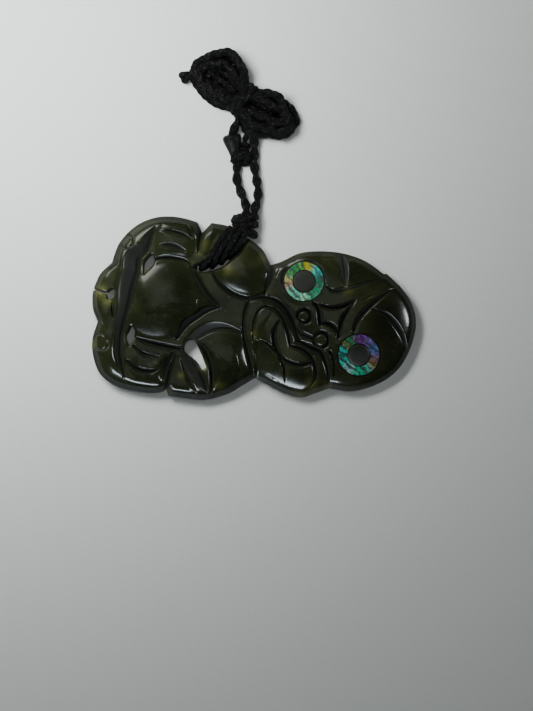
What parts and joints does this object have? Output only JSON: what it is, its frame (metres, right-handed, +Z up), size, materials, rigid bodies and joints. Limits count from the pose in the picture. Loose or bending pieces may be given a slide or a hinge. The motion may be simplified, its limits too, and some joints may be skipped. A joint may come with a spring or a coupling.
{
  "type": "hei tiki pendant on a wound cord",
  "caption": "Carved greenstone figure pendant with a tilted head and shell ring eyes, lashed at the shoulder to a plaited cord that is wound into a hank and closes with a toggle.",
  "frame": {"origin": "centre of the stone's flat back, which lies on the surface", "axes": "+X along the stone from the feet to the crown of the head, +Y towards the cord, +Z up out of the carved face"},
  "size_m": [0.0814, 0.088, 0.0075],
  "materials": {
    "greenstone": "polished",
    "shell": "polished, iridescent",
    "black_resin": "gloss",
    "cord": "plaited and waxed",
    "horn": "satin"
  },
  "bodies": {
    "root": {"tiki_body": "greenstone", "eye_bed_upper": "black_resin", "eye_bed_lower": "black_resin", "eye_ring_upper": "shell", "eye_ring_lower": "shell", "lashing_1": "cord", "lashing_2": "cord", "lashing_3": "cord", "lashing_4": "cord", "collar": "cord", "neck_strand_left": "cord", "neck_strand_right": "cord", "toggle": "horn", "toggle_lead": "cord", "stop_knot": "cord", "hank": "cord", "end_knot": "cord"}
  },
  "joints": []
}
